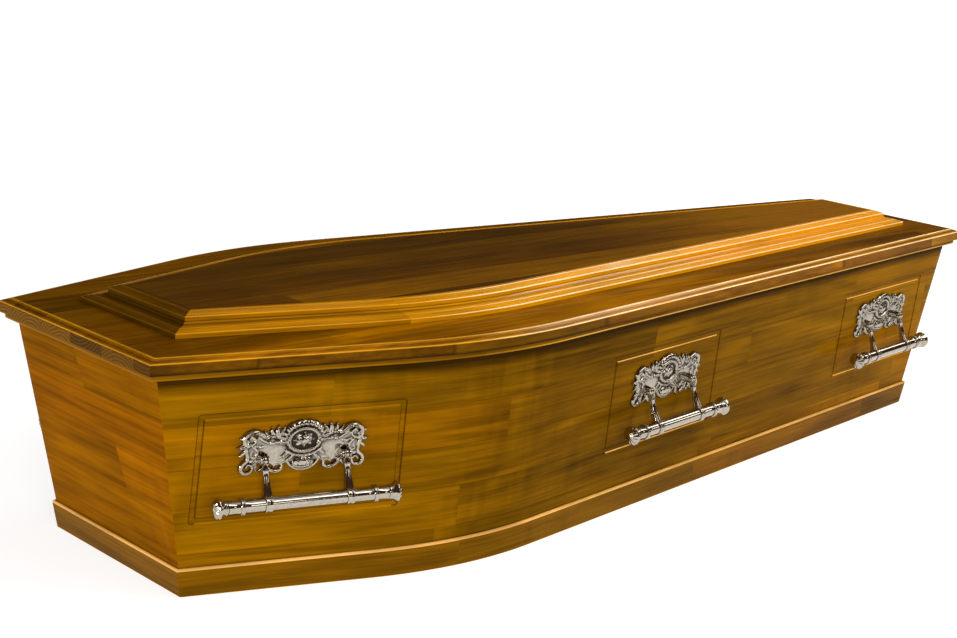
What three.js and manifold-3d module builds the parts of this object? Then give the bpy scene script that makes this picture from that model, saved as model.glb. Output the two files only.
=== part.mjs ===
// A wooden coffin: a flared box bent at the shoulders, a skirting, a moulded lid with a raised
// stepped panel, and three swinging bar handles on each long side.
// Millimetres, +Z up. X runs from the head end (-X) to the foot end (+X). The origin is the
// middle of the lid's length, on the centre line, at the underside.
import * as THREE from "three";
import { mergeVertices } from "three/addons/utils/BufferGeometryUtils.js";
import Module from "manifold-3d";

const wasm = await Module();
wasm.setup();

// Clearance between pieces that touch
const GAP = 0.3;

// Lid outline, at its widest face
const LID_LENGTH = 2000;
const LID_HEAD_HALF = 203;
const LID_SHOULDER_HALF = 355;
const LID_FOOT_HALF = 193;
const LID_SHOULDER_X = -479;
const LID_SHOULDER_RADIUS = 808;

// Box outline at the floor
const BASE_HEAD_INSET = 87;
const BASE_FOOT_INSET = 99;
const BASE_HEAD_HALF = 165;
const BASE_SHOULDER_HALF = 315;
const BASE_FOOT_HALF = 155;
const BASE_SHOULDER_X = -498;
const BASE_SHOULDER_RADIUS = 638;

// Box
const BOX_HEIGHT = 339.6;
const BOX_TOP_INSET = 22;
const WALL = 22;
const FLOOR_THICKNESS = 18;

// Skirting round the foot of the box
const SKIRTING_HEIGHT = 45;
const SKIRTING_THICKNESS = 5;
const SKIRTING_ROUND = 3.5;

// Rim strips and lid board
const RIM_HEIGHT = 10;
const RIM_INSET = 7;
const LID_FACE_HEIGHT = 17;
const LID_EDGE_RUN = 14;
const LID_EDGE_DROP = 5;

// Raised panel of the lid, at its top edge
const RAISED_HEIGHT = 28;
const RAISED_HEAD_INSET = 139;
const RAISED_FOOT_INSET = 131;
const RAISED_HEAD_HALF = 90;
const RAISED_SHOULDER_HALF = 204;
const RAISED_FOOT_HALF = 67;
const RAISED_SHOULDER_X = -464;
const RAISED_SHOULDER_RADIUS = 814;
const UPPER_STEP_RUN = 15;
const UPPER_STEP_DROP = 5;
const UPPER_STEP_FACE = 7;
const LOWER_STEP_START = 33;
const MOULDING_RUN = 47;
const LOWER_STEP_FACE = 7.5;
const LOWER_STEP_DROP = 4;
const LOWER_STEP_LIP = 2;
const MOULDING_TOP_BORDER = 8;
const PANEL_REBATE = 10;
const PANEL_THICKNESS = 14;

// Routed frame round each handle; places along the lid are shares of its length
const PANEL_PLACES = [-0.3815, -0.0055, 0.371];
const PANEL_LENGTH = 309;
const PANEL_HEIGHT = 159;
const PANEL_MIDDLE_Z = 197;
const GROOVE_WIDTH = 11;
const GROOVE_DEPTH = 4;

// Handle plate
const PLATE_Z = 230;
const PLATE_STANDOFF = 1;
const PLATE_THICKNESS = 3.6;
const PLATE_HALF_LENGTH = 100;
const PLATE_HALF_WEB = [
  [0, 24], [0.4, 22], [0.58, 12], [0.86, 10], [1, -4], [0.9, -12], [0.86, -30], [0.66, -31], [0.54, -31],
  [0.49, -43], [0.36, -43], [0.22, -32],
];

// Carved bosses: place along and up the plate, half length, half height, rise, sides
const CROWN_BOSS = [0, 8, 34, 25, 6, 12];
const MEDALLION_BOSS = [0, 3, 22, 15, 10.6, 10];
const FOOT_BOSS = [0, -32, 20, 11, 8, 8];
const UPPER_SCROLL_BOSS = [77, 8, 14, 12, 9, 8];
const LOWER_SCROLL_BOSS = [84, -34, 11, 11, 8.6, 8];

// Swinging handle
const PIVOT_SPACING = 124;
const PIVOT_DROP = 20;
const PIVOT_PROUD = 13;
const PIN_RADIUS = 2.2;
const EAR_RADIUS = 5.6;
const EAR_THICKNESS = 3;
const EYE_RADIUS = 6;
const EYE_WIDTH = 8;
const BAR_DROP = 76;
const BAR_PROUD = 38;
const BAR_RADIUS = 10;
const BAR_LENGTH = 244;
const COLLAR_RADIUS = 12.4;
const COLLAR_WIDTH = 11;
const BAND_RADIUS = 13.2;
const BAND_WIDTH = 6;
const BAND_SPACING = 202;
const KNOB_LENGTH = 21;
const KNOB_RADIUS = 16;
const KNOB_NECK_RADIUS = 11.2;

// Shank of an arm: share of the way down, half width, half depth
const SHANK_SECTIONS = [[0, 3.4, 3.6], [0.5, 3.2, 3.4], [0.75, 4.4, 4.2]];
const SHANK_END_HALF = 5.4;

// Facet counts
const SHOULDER_STEPS = 7;
const HEAD_STEPS = 4;
const FOOT_STEPS = 6;
const ROUND_SIDES = 10;
const PIN_SIDES = 6;
const EYE_SIDES = 8;
const SHANK_SIDES = 4;
const GROOVE_STEPS = 2;

const RIM_BOTTOM = BOX_HEIGHT + GAP;
const LID_BOTTOM = RIM_BOTTOM + RIM_HEIGHT;
const LID_FACE_TOP = LID_BOTTOM + LID_FACE_HEIGHT;
const LID_TOP = LID_FACE_TOP + LID_EDGE_DROP;
const PANEL_X = PANEL_PLACES.map((share) => share * LID_LENGTH);
const RAISED_BOTTOM = LID_TOP + GAP;
const RAISED_TOP = LID_TOP + RAISED_HEIGHT;

const woodSide = () => new THREE.MeshStandardMaterial({ color: 0xa8650f, roughness: 0.22, metalness: 0 });
const woodDark = () => new THREE.MeshStandardMaterial({ color: 0x7a4410, roughness: 0.18, metalness: 0 });
const woodRaw = () => new THREE.MeshStandardMaterial({ color: 0xc79a62, roughness: 0.7, metalness: 0 });
const chrome = () => new THREE.MeshStandardMaterial({ color: 0xd9d7d2, roughness: 0.12, metalness: 1 });

// Half of a coffin-shaped outline: two straight runs joined by an arc at the shoulder.
class Outline {
  constructor(headX, headHalf, shoulderX, shoulderHalf, footX, footHalf, radius) {
    this.head = new THREE.Vector2(headX, headHalf);
    this.shoulder = new THREE.Vector2(shoulderX, shoulderHalf);
    this.foot = new THREE.Vector2(footX, footHalf);
    this.radius = radius;
    this.toHead = this.head.clone().sub(this.shoulder).normalize();
    this.toFoot = this.foot.clone().sub(this.shoulder).normalize();
    const half = Math.acos(this.toHead.dot(this.toFoot)) / 2;
    const tangent = radius / Math.tan(half);
    this.arcStart = this.shoulder.clone().addScaledVector(this.toHead, tangent);
    this.arcEnd = this.shoulder.clone().addScaledVector(this.toFoot, tangent);
    const inward = this.toHead.clone().add(this.toFoot).normalize();
    this.centre = this.shoulder.clone().addScaledVector(inward, radius / Math.sin(half));
  }

  // The outline moved outwards by a distance, square to each run.
  offset(distance) {
    const headNormal = new THREE.Vector2(this.toHead.y, -this.toHead.x);
    const footNormal = new THREE.Vector2(-this.toFoot.y, this.toFoot.x);
    const onHead = this.shoulder.clone().addScaledVector(headNormal, distance);
    const onFoot = this.shoulder.clone().addScaledVector(footNormal, distance);
    const corner = crossing(onHead, this.toHead, onFoot, this.toFoot);
    const headX = this.head.x - distance;
    const footX = this.foot.x + distance;
    const headHalf = onHead.y + ((headX - onHead.x) / this.toHead.x) * this.toHead.y;
    const footHalf = onFoot.y + ((footX - onFoot.x) / this.toFoot.x) * this.toFoot.y;
    return new Outline(headX, headHalf, corner.x, corner.y, footX, footHalf, this.radius + distance);
  }

  halfWidthAt(x) {
    if (x < this.arcStart.x) return this.head.y + ((x - this.head.x) / -this.toHead.x) * -this.toHead.y;
    if (x > this.arcEnd.x) return this.foot.y + ((x - this.foot.x) / this.toFoot.x) * this.toFoot.y;
    return this.centre.y + Math.sqrt(this.radius ** 2 - (x - this.centre.x) ** 2);
  }

  // Points of one long side from head to foot; side is -1 on the near side and 1 on the far side.
  points(side, headSteps, footSteps, trim) {
    const points = [];
    const start = this.head.clone().addScaledVector(this.toHead, -trim);
    const end = this.foot.clone().addScaledVector(this.toFoot, -trim);
    for (let i = 0; i < headSteps; i++) points.push(start.clone().lerp(this.arcStart, i / headSteps));
    const from = Math.atan2(this.arcStart.y - this.centre.y, this.arcStart.x - this.centre.x);
    const to = Math.atan2(this.arcEnd.y - this.centre.y, this.arcEnd.x - this.centre.x);
    for (let i = 0; i <= SHOULDER_STEPS; i++) {
      const angle = from + ((to - from) * i) / SHOULDER_STEPS;
      const x = this.centre.x + this.radius * Math.cos(angle);
      points.push(new THREE.Vector2(x, this.centre.y + this.radius * Math.sin(angle)));
    }
    for (let i = 1; i <= footSteps; i++) points.push(this.arcEnd.clone().lerp(end, i / footSteps));
    return points.map((point) => new THREE.Vector2(point.x, point.y * side));
  }
}

// Where the line through a along u meets the line through b along v.
function crossing(a, u, b, v) {
  const k = ((b.x - a.x) * v.y - (b.y - a.y) * v.x) / (u.x * v.y - u.y * v.x);
  return a.clone().addScaledVector(u, k);
}

const HALF = LID_LENGTH / 2;
const lidOutline = new Outline(
  -HALF, LID_HEAD_HALF, LID_SHOULDER_X, LID_SHOULDER_HALF, HALF, LID_FOOT_HALF, LID_SHOULDER_RADIUS);
const raisedOutline = new Outline(
  -HALF + RAISED_HEAD_INSET, RAISED_HEAD_HALF, RAISED_SHOULDER_X, RAISED_SHOULDER_HALF,
  HALF - RAISED_FOOT_INSET, RAISED_FOOT_HALF, RAISED_SHOULDER_RADIUS);
const boxTop = lidOutline.offset(-BOX_TOP_INSET);
const boxBase = new Outline(
  -HALF + BASE_HEAD_INSET, BASE_HEAD_HALF, BASE_SHOULDER_X, BASE_SHOULDER_HALF,
  HALF - BASE_FOOT_INSET, BASE_FOOT_HALF, BASE_SHOULDER_RADIUS);

const mix = (a, b, k) => a + (b - a) * k;

// Outer face of the flared box at a height, moved outwards by a distance.
function boxAt(z, distance) {
  const k = z / BOX_HEIGHT;
  return new Outline(
    mix(boxBase.head.x, boxTop.head.x, k), mix(boxBase.head.y, boxTop.head.y, k),
    mix(boxBase.shoulder.x, boxTop.shoulder.x, k), mix(boxBase.shoulder.y, boxTop.shoulder.y, k),
    mix(boxBase.foot.x, boxTop.foot.x, k), mix(boxBase.foot.y, boxTop.foot.y, k),
    mix(boxBase.radius, boxTop.radius, k),
  ).offset(distance);
}

// Closed body from rows of points: row i and row i + 1 are joined, the last row to the first
// when wrapped, and caps lists the triangles that close it, as flat indices.
function bodyFromRows(rows, wrapRows, wrapColumns, caps) {
  const columns = rows[0].length;
  const positions = rows.flat().flatMap((point) => [point.x, point.y, point.z]);
  const index = [...caps];
  const rowCount = wrapRows ? rows.length : rows.length - 1;
  const columnCount = wrapColumns ? columns : columns - 1;
  for (let i = 0; i < rowCount; i++) {
    for (let j = 0; j < columnCount; j++) {
      const a = i * columns + j;
      const b = i * columns + ((j + 1) % columns);
      const c = ((i + 1) % rows.length) * columns + ((j + 1) % columns);
      const d = ((i + 1) % rows.length) * columns + j;
      index.push(a, b, c, a, c, d);
    }
  }
  const geometry = new THREE.BufferGeometry();
  geometry.setAttribute("position", new THREE.Float32BufferAttribute(positions, 3));
  geometry.setIndex(index);
  return facingOut(geometry);
}

// Turns every triangle round when the body's volume comes out negative.
function facingOut(geometry) {
  const position = geometry.getAttribute("position");
  const index = geometry.getIndex();
  const [a, b, c] = [new THREE.Vector3(), new THREE.Vector3(), new THREE.Vector3()];
  let volume = 0;
  for (let i = 0; i < index.count; i += 3) {
    a.fromBufferAttribute(position, index.getX(i));
    b.fromBufferAttribute(position, index.getX(i + 1));
    c.fromBufferAttribute(position, index.getX(i + 2));
    volume += a.dot(b.cross(c));
  }
  if (volume < 0) {
    for (let i = 0; i < index.count; i += 3) {
      const second = index.getX(i + 1);
      index.setX(i + 1, index.getX(i + 2));
      index.setX(i + 2, second);
    }
  }
  return geometry;
}

// A mitred strip: every [distance, z] of the profile follows its own path of plan points.
function strip(profile, path) {
  const rows = profile.map(([distance, z]) =>
    path(distance, z).map((point) => new THREE.Vector3(point.x, point.y, z)));
  const columns = rows[0].length;
  const section = profile.map(([distance, z]) => new THREE.Vector2(distance, z));
  const faces = THREE.ShapeUtils.triangulateShape(section, []);
  const turned = THREE.ShapeUtils.isClockWise(section);
  const caps = [];
  for (const [a, b, c] of faces) {
    const [p, q] = turned ? [c, b] : [b, c];
    caps.push(a * columns, p * columns, q * columns);
    const last = columns - 1;
    caps.push(a * columns + last, q * columns + last, p * columns + last);
  }
  return bodyFromRows(rows, true, false, caps);
}

function frameStrips(name, profile, outlineAt, headSteps, footSteps, material) {
  const trim = GAP / 2;
  const side = (sign) => (distance, z) => outlineAt(distance, z).points(sign, headSteps, footSteps, trim);
  const end = (pick) => (distance, z) => {
    const corner = outlineAt(distance, z)[pick];
    return [new THREE.Vector2(corner.x, -corner.y + trim), new THREE.Vector2(corner.x, corner.y - trim)];
  };
  return [
    namedMesh(`${name}_near`, strip(profile, side(-1)), material()),
    namedMesh(`${name}_far`, strip(profile, side(1)), material()),
    namedMesh(`${name}_head`, strip(profile, end("head")), material()),
    namedMesh(`${name}_foot`, strip(profile, end("foot")), material()),
  ];
}

// A board with a worked edge all round: the profile runs from its underside out and up to its top.
function board(profile, outlineAt, headSteps, footSteps) {
  const rows = profile.map(([distance, z]) => {
    const outline = outlineAt(distance, z);
    const loop = outline.points(-1, headSteps, footSteps, 0);
    loop.push(...outline.points(1, headSteps, footSteps, 0).reverse());
    return loop.map((point) => new THREE.Vector3(point.x, point.y, z));
  });
  const columns = rows[0].length;
  const caps = [];
  const top = (rows.length - 1) * columns;
  for (let j = 1; j < columns - 1; j++) {
    caps.push(0, j + 1, j, top, top + j, top + j + 1);
  }
  return bodyFromRows(rows, false, true, caps);
}

function toSolid(geometry) {
  const bare = geometry.clone();
  bare.deleteAttribute("normal");
  bare.deleteAttribute("uv");
  const merged = mergeVertices(bare, 1e-4);
  return new wasm.Manifold(new wasm.Mesh({
    numProp: 3,
    vertProperties: new Float32Array(merged.getAttribute("position").array),
    triVerts: new Uint32Array(merged.getIndex().array),
  }));
}

function fromSolid(solid) {
  const mesh = solid.getMesh();
  const geometry = new THREE.BufferGeometry();
  geometry.setAttribute("position", new THREE.Float32BufferAttribute(mesh.vertProperties, 3));
  geometry.setIndex([...mesh.triVerts]);
  return geometry;
}

function join(geometries) {
  return geometries.map(toSolid).reduce((all, next) => all.add(next));
}

function namedMesh(name, geometry, material) {
  const mesh = new THREE.Mesh(geometry, material);
  mesh.name = name;
  return mesh;
}

// Point on the outer face of a long side, at a place along X and a height, moved outwards.
function onSide(side, x, z, distance) {
  return new THREE.Vector3(x, side * boxAt(z, distance).halfWidthAt(x), z);
}

// Level direction along a long side, from head to foot, at a place along X.
function alongSide(side, x) {
  const reach = PLATE_HALF_LENGTH;
  const back = onSide(side, x - reach, PLATE_Z, 0);
  return onSide(side, x + reach, PLATE_Z, 0).sub(back).normalize();
}

// Cutter for the routed frame: a round-bottomed groove that follows the face of the side.
function grooveCutter(side, x) {
  const half = GROOVE_WIDTH / 2;
  const section = [
    [-half * 1.1, GROOVE_DEPTH / 2], [-half * 0.6, -GROOVE_DEPTH * 0.8], [0, -GROOVE_DEPTH],
    [half * 0.6, -GROOVE_DEPTH * 0.8], [half * 1.1, GROOVE_DEPTH / 2],
  ];
  const slope = alongSide(side, x).x;
  const rows = section.map(([across, out]) => {
    const halfLength = PANEL_LENGTH / 2 + across;
    const halfHeight = PANEL_HEIGHT / 2 + across;
    return frameLoop(halfLength, halfHeight).map(([along, up]) =>
      onSide(side, x + along * slope, PANEL_MIDDLE_Z + up, out));
  });
  return bodyFromRows(rows, true, true, []);
}

// Points round a rectangle, anticlockwise from its lower left corner.
function frameLoop(halfLength, halfHeight) {
  const corners = [[-1, -1], [1, -1], [1, 1], [-1, 1]];
  const loop = [];
  corners.forEach(([x, y], i) => {
    const [nextX, nextY] = corners[(i + 1) % corners.length];
    for (let step = 0; step < GROOVE_STEPS; step++) {
      const k = step / GROOVE_STEPS;
      loop.push([mix(x, nextX, k) * halfLength, mix(y, nextY, k) * halfHeight]);
    }
  });
  return loop;
}

function sideBoard(side) {
  const middle = (SKIRTING_HEIGHT + BOX_HEIGHT) / 2;
  const profile = [
    [0, 0], [0, SKIRTING_HEIGHT], [0, middle], [0, BOX_HEIGHT],
    [-WALL, BOX_HEIGHT], [-WALL, middle], [-WALL, SKIRTING_HEIGHT], [-WALL, 0],
  ];
  const path = (distance, z) => boxAt(z, distance).points(side, HEAD_STEPS, FOOT_STEPS, GAP / 2);
  let solid = toSolid(strip(profile, path));
  for (const x of PANEL_X) solid = solid.subtract(toSolid(grooveCutter(side, x)));
  return fromSolid(solid);
}

function endBoard(pick) {
  const profile = [[0, 0], [0, BOX_HEIGHT], [-WALL, BOX_HEIGHT], [-WALL, 0]];
  const path = (distance, z) => {
    const corner = boxAt(z, distance)[pick];
    const half = corner.y - GAP / 2;
    return [new THREE.Vector2(corner.x, -half), new THREE.Vector2(corner.x, half)];
  };
  return strip(profile, path);
}

function boxPieces() {
  const floor = board([[-WALL - GAP, 0], [-WALL - GAP, FLOOR_THICKNESS]],
    (distance, z) => boxAt(z, distance), HEAD_STEPS, FOOT_STEPS);
  return [
    namedMesh("side_near", sideBoard(-1), woodSide()),
    namedMesh("side_far", sideBoard(1), woodSide()),
    namedMesh("head_board", endBoard("head"), woodSide()),
    namedMesh("foot_board", endBoard("foot"), woodSide()),
    namedMesh("floor_board", floor, woodRaw()),
  ];
}

function skirtingPieces() {
  const outer = GAP + SKIRTING_THICKNESS;
  const round = SKIRTING_ROUND;
  const profile = [
    [GAP, 0], [outer, 0], [outer, SKIRTING_HEIGHT - round],
    [outer - round * 0.3, SKIRTING_HEIGHT - round * 0.3], [outer - round, SKIRTING_HEIGHT],
    [GAP, SKIRTING_HEIGHT],
  ];
  return frameStrips("skirting", profile, (distance, z) => boxAt(z, distance),
    HEAD_STEPS, FOOT_STEPS, woodSide);
}

function rimPieces() {
  const inner = -BOX_TOP_INSET - WALL;
  const profile = [
    [-RIM_INSET, RIM_BOTTOM], [-RIM_INSET, LID_BOTTOM - GAP], [inner, LID_BOTTOM - GAP], [inner, RIM_BOTTOM],
  ];
  return frameStrips("rim", profile, (distance) => lidOutline.offset(distance), 1, 1, woodSide);
}

function lidBoard() {
  const run = LID_EDGE_RUN;
  const drop = LID_EDGE_DROP;
  const profile = [
    [0, LID_BOTTOM], [0, LID_FACE_TOP - drop * 0.25], [-run * 0.08, LID_FACE_TOP],
    [-run * 0.5, LID_FACE_TOP + drop * 0.22], [-run * 0.86, LID_FACE_TOP + drop * 0.86], [-run, LID_TOP],
  ];
  return board(profile, (distance) => lidOutline.offset(distance), 1, 1);
}

// The raised moulding has two tiers, each a sloping top with an upright face below it, and a
// rebate on its inner edge that carries the top panel.
function raisedMouldings() {
  const upperFaceTop = RAISED_TOP - UPPER_STEP_DROP;
  const upperFaceBottom = upperFaceTop - UPPER_STEP_FACE;
  const lowerFaceTop = LID_TOP + LOWER_STEP_FACE;
  const lowerTop = lowerFaceTop + LOWER_STEP_DROP;
  const coveEnd = LOWER_STEP_START - LOWER_STEP_LIP;
  const seat = RAISED_TOP - PANEL_THICKNESS - GAP;
  const profile = [
    [-MOULDING_TOP_BORDER, RAISED_TOP], [0, RAISED_TOP], [UPPER_STEP_RUN - 1, upperFaceTop + 0.6],
    [UPPER_STEP_RUN, upperFaceTop - 0.6], [UPPER_STEP_RUN, upperFaceBottom],
    [mix(UPPER_STEP_RUN, coveEnd, 0.4), mix(upperFaceBottom, lowerTop, 0.75)], [coveEnd, lowerTop - 0.6],
    [LOWER_STEP_START, lowerTop], [MOULDING_RUN - 1, lowerFaceTop + 0.6], [MOULDING_RUN, lowerFaceTop - 0.6],
    [MOULDING_RUN, RAISED_BOTTOM], [-MOULDING_TOP_BORDER - PANEL_REBATE, RAISED_BOTTOM],
    [-MOULDING_TOP_BORDER - PANEL_REBATE, seat], [-MOULDING_TOP_BORDER, seat],
  ];
  return frameStrips("raised_moulding", profile, (distance) => raisedOutline.offset(distance), 1, 1, woodSide);
}

function topPanel() {
  const edge = -MOULDING_TOP_BORDER - GAP;
  const profile = [[edge, RAISED_TOP - PANEL_THICKNESS], [edge, RAISED_TOP]];
  return board(profile, (distance) => raisedOutline.offset(distance), 1, 1);
}

function lidPieces() {
  return [
    ...rimPieces(),
    namedMesh("lid_board", lidBoard(), woodDark()),
    ...raisedMouldings(),
    namedMesh("top_panel", topPanel(), woodDark()),
  ];
}

// An oval boss that stands on the plate, rounded off towards its top.
function boss(u, v, halfLength, halfHeight, rise, sides) {
  const points = [[0, 0], [1, 0], [0.8, 0.75], [0, 1]];
  const profile = points.map(([radius, height]) => new THREE.Vector2(radius, height));
  const geometry = new THREE.LatheGeometry(profile, sides);
  geometry.rotateX(Math.PI / 2);
  geometry.scale(halfLength, halfHeight, rise);
  geometry.translate(u, v, 0);
  return mergeVertices(stripped(geometry), 1e-4);
}

function stripped(geometry) {
  geometry.deleteAttribute("normal");
  geometry.deleteAttribute("uv");
  return geometry;
}

// Flat web of the plate, drawn as one half and mirrored.
function plateWeb() {
  const half = PLATE_HALF_WEB.map(([share, v]) => new THREE.Vector2(share * PLATE_HALF_LENGTH, v));
  const mirrored = half.slice(1).reverse().map((point) => new THREE.Vector2(-point.x, point.y));
  const shape = new THREE.Shape([...half, ...mirrored]);
  return new THREE.ExtrudeGeometry(shape, { depth: PLATE_THICKNESS, bevelEnabled: false });
}

// Cylinder lying along the plate's length, from one u to another.
function lyingCylinder(from, to, v, n, radius, sides) {
  const geometry = new THREE.CylinderGeometry(radius, radius, to - from, sides);
  geometry.rotateZ(Math.PI / 2);
  geometry.rotateX(Math.PI / sides);
  geometry.translate((from + to) / 2, v, n);
  return geometry;
}

// One ear of a pivot: a cheek that rises from the plate, with its top corners cut off.
function ear(from) {
  const r = EAR_RADIUS;
  const shape = new THREE.Shape([
    new THREE.Vector2(1, -r), new THREE.Vector2(PIVOT_PROUD + r * 0.3, -r),
    new THREE.Vector2(PIVOT_PROUD + r, 0), new THREE.Vector2(PIVOT_PROUD + r * 0.3, r),
    new THREE.Vector2(1, r),
  ]);
  const cheek = new THREE.ExtrudeGeometry(shape, { depth: EAR_THICKNESS, bevelEnabled: false });
  cheek.rotateY(-Math.PI / 2);
  cheek.translate(from + EAR_THICKNESS, -PIVOT_DROP, 0);
  return cheek;
}

function pivot(u) {
  const cheek = EYE_WIDTH / 2 + GAP;
  const pin = lyingCylinder(
    u - cheek - 1, u + cheek + 1, -PIVOT_DROP, PIVOT_PROUD, PIN_RADIUS, PIN_SIDES);
  return [ear(u - cheek - EAR_THICKNESS), ear(u + cheek), pin];
}

function platePiece() {
  const parts = [plateWeb(), boss(...CROWN_BOSS), boss(...MEDALLION_BOSS), boss(...FOOT_BOSS)];
  for (const hand of [-1, 1]) {
    for (const [u, ...rest] of [UPPER_SCROLL_BOSS, LOWER_SCROLL_BOSS]) parts.push(boss(hand * u, ...rest));
    parts.push(...pivot((hand * PIVOT_SPACING) / 2));
  }
  return fromSolid(join(parts));
}

// One arm: an eye on the pin, a shank that widens downwards, and a collar round the bar.
function armPiece(u) {
  const reach = Math.hypot(BAR_DROP - PIVOT_DROP, BAR_PROUD - PIVOT_PROUD);
  const lean = Math.atan2(BAR_PROUD - PIVOT_PROUD, BAR_DROP - PIVOT_DROP);
  const end = [1 - BAR_RADIUS / 2 / reach, SHANK_END_HALF, SHANK_END_HALF];
  const sections = [...SHANK_SECTIONS, end];
  const rows = sections.map(([share, halfWidth, halfDepth]) => [
    new THREE.Vector3(-halfWidth, -reach * share, -halfDepth),
    new THREE.Vector3(halfWidth, -reach * share, -halfDepth),
    new THREE.Vector3(halfWidth, -reach * share, halfDepth),
    new THREE.Vector3(-halfWidth, -reach * share, halfDepth),
  ]);
  const last = (sections.length - 1) * SHANK_SIDES;
  const caps = [0, 2, 1, 0, 3, 2, last, last + 1, last + 2, last, last + 2, last + 3];
  const shank = bodyFromRows(rows, false, true, caps);
  shank.rotateX(-lean);
  shank.translate(u, -PIVOT_DROP, PIVOT_PROUD);
  const eye = lyingCylinder(u - EYE_WIDTH / 2, u + EYE_WIDTH / 2, -PIVOT_DROP, PIVOT_PROUD, EYE_RADIUS, EYE_SIDES);
  const half = COLLAR_WIDTH / 2;
  const collar = lyingCylinder(u - half, u + half, -BAR_DROP, BAR_PROUD, COLLAR_RADIUS, ROUND_SIDES);
  const bore = lyingCylinder(u - half - 1, u + half + 1, -BAR_DROP, BAR_PROUD, BAR_RADIUS + GAP, ROUND_SIDES);
  const holeRadius = (PIN_RADIUS + GAP) / Math.cos(Math.PI / PIN_SIDES);
  const pinHole = lyingCylinder(
    u - EYE_WIDTH, u + EYE_WIDTH, -PIVOT_DROP, PIVOT_PROUD, holeRadius, PIN_SIDES);
  return fromSolid(join([eye, shank, collar]).subtract(toSolid(bore)).subtract(toSolid(pinHole)));
}

// Turned piece about the bar's axis, from [radius, u] points.
function turned(points) {
  const profile = points.map(([radius, u]) => new THREE.Vector2(radius, u));
  const geometry = new THREE.LatheGeometry(profile, ROUND_SIDES);
  geometry.rotateZ(-Math.PI / 2);
  geometry.rotateX(Math.PI / ROUND_SIDES);
  geometry.translate(0, -BAR_DROP, BAR_PROUD);
  return fromSolid(toSolid(facingOut(mergeVertices(stripped(geometry), 1e-4))));
}

function barPiece() {
  const end = BAR_LENGTH / 2;
  const inner = (BAND_SPACING - BAND_WIDTH) / 2;
  const outer = (BAND_SPACING + BAND_WIDTH) / 2;
  const half = [[0, end], [BAR_RADIUS, end], [BAR_RADIUS, outer], [BAND_RADIUS, outer],
    [BAND_RADIUS, inner], [BAR_RADIUS, inner]];
  const other = half.map(([radius, u]) => [radius, -u]);
  return turned([...other, ...half.reverse()]);
}

function knobPiece(hand) {
  const start = BAR_LENGTH / 2 + GAP;
  const shares = [[0, 0], [1, 0], [1, 0.16], [1.07, 0.34], [1.43, 0.56], [1.43, 0.68], [1.08, 0.86], [0, 1]];
  const widest = KNOB_RADIUS / KNOB_NECK_RADIUS;
  const points = shares.map(([radius, share]) => {
    const grown = radius > 1 ? mix(1, widest, (radius - 1) / 0.43) : radius;
    return [grown * KNOB_NECK_RADIUS, hand * (start + share * KNOB_LENGTH)];
  });
  return turned(points);
}

// Group placed on the side, with its X level along the side, its Y up the face and its Z outwards.
function handleGroup(side, x) {
  const along = alongSide(side, x).multiplyScalar(-side);
  const low = onSide(side, x, PLATE_Z - PLATE_HALF_LENGTH / 2, 0);
  const up = onSide(side, x, PLATE_Z + PLATE_HALF_LENGTH / 2, 0).sub(low);
  const out = along.clone().cross(up).normalize();
  const square = out.clone().cross(along);
  const place = onSide(side, x, PLATE_Z, 0).addScaledVector(out, PLATE_STANDOFF);
  const group = new THREE.Group();
  group.applyMatrix4(new THREE.Matrix4().makeBasis(along, square, out).setPosition(place));
  return group;
}

function handlePieces(label, side, x) {
  const group = handleGroup(side, x);
  const half = PIVOT_SPACING / 2;
  group.add(
    namedMesh(`plate_${label}`, platePiece(), chrome()),
    namedMesh(`arm_a_${label}`, armPiece(-half), chrome()),
    namedMesh(`arm_b_${label}`, armPiece(half), chrome()),
    namedMesh(`bar_${label}`, barPiece(), chrome()),
    namedMesh(`knob_a_${label}`, knobPiece(-1), chrome()),
    namedMesh(`knob_b_${label}`, knobPiece(1), chrome()),
  );
  return group;
}

const coffin = new THREE.Group();
coffin.add(...boxPieces(), ...skirtingPieces(), ...lidPieces());
const places = ["head", "middle", "foot"];
PANEL_X.forEach((x, i) => {
  coffin.add(handlePieces(`near_${places[i]}`, -1, x));
  coffin.add(handlePieces(`far_${places[i]}`, 1, x));
});

export default coffin;
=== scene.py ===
import math

import bpy
import numpy as np
from mathutils import Matrix, Vector


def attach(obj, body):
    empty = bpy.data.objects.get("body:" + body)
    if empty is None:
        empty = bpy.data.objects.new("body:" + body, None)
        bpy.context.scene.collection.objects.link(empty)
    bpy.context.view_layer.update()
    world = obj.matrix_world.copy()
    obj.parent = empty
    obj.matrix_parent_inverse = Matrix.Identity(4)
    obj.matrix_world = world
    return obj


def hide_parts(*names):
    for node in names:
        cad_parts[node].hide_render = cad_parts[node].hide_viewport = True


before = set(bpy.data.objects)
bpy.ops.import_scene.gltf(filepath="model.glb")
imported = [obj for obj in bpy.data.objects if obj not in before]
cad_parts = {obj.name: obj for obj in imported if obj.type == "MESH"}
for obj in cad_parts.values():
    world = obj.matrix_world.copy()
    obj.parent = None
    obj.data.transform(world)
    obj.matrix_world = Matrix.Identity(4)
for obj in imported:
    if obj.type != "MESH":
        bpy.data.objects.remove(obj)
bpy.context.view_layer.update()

MM = 0.001
SIDES = {"near": -1, "far": 1}

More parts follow.
